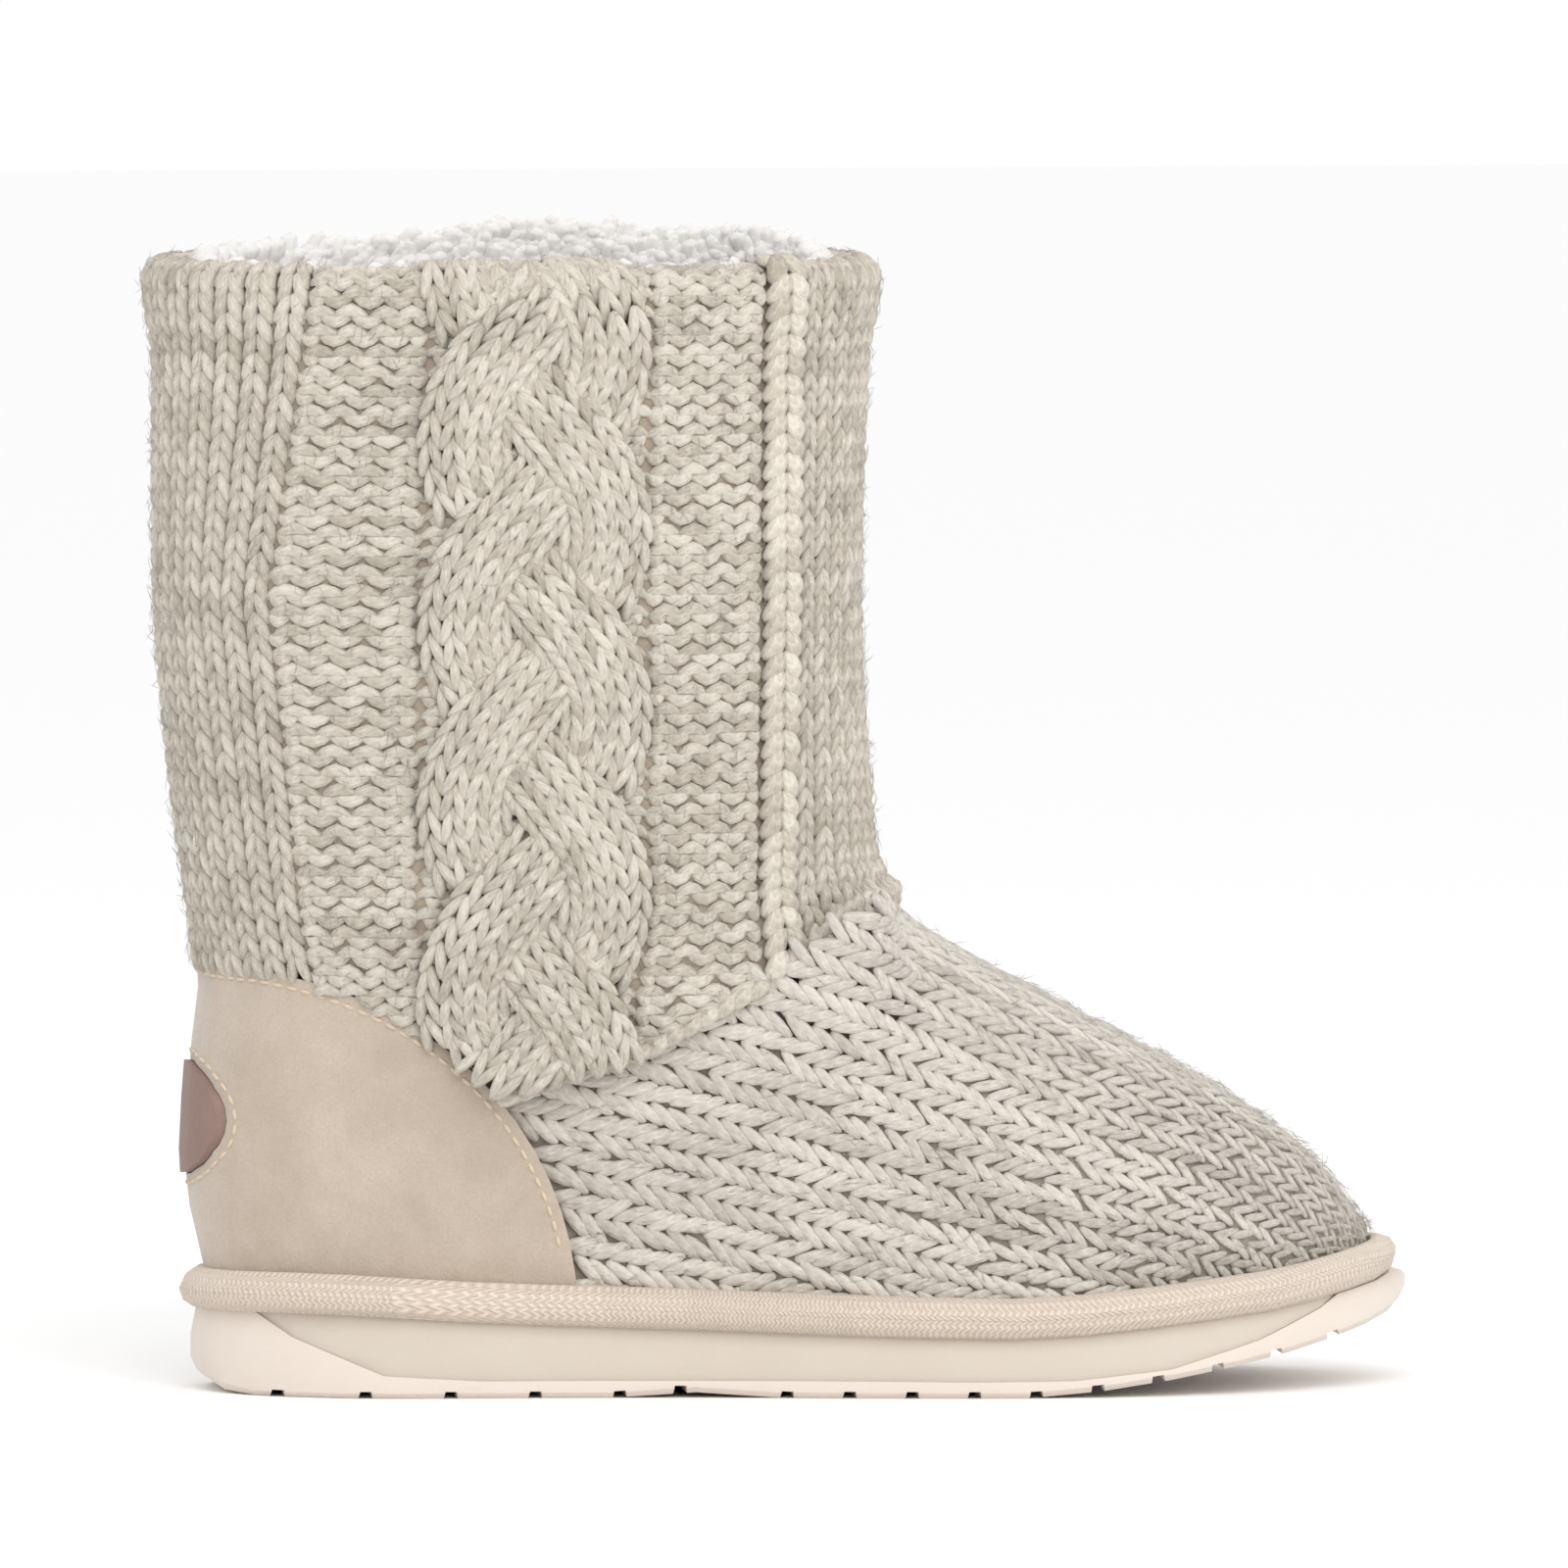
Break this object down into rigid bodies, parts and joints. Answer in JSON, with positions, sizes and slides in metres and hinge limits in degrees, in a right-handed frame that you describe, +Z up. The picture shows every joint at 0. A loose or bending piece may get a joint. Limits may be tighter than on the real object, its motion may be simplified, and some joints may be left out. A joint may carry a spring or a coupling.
{
  "type": "knit boot",
  "caption": "Ankle-high lined boot for the right foot with a cable-knit sleeve, suede heel counter, taped edge and lugged moulded sole.",
  "frame": {"origin": "middle of the underside of the boot's box, on the plane it stands on", "axes": "+X towards the toe, -Y towards the outer side of the foot, +Z up"},
  "size_m": [0.2748, 0.1084, 0.2451],
  "materials": {
    "outsole_rubber": "moulded, satin",
    "midsole_foam": "moulded foam, matte",
    "wool_lining": "wool pile",
    "vamp_knit": "fine heathered knit",
    "woven_tape": "twill woven tape",
    "shaft_knit": "heathered cable knit",
    "suede": "brushed suede",
    "patch_leather": "smooth matt leather"
  },
  "bodies": {
    "root": {"outsole": "outsole_rubber", "midsole": "midsole_foam", "insole": "wool_lining", "upper": "vamp_knit", "welt": "woven_tape", "knit_shaft": "shaft_knit", "heel_counter": "suede", "heel_patch": "patch_leather"}
  },
  "joints": []
}
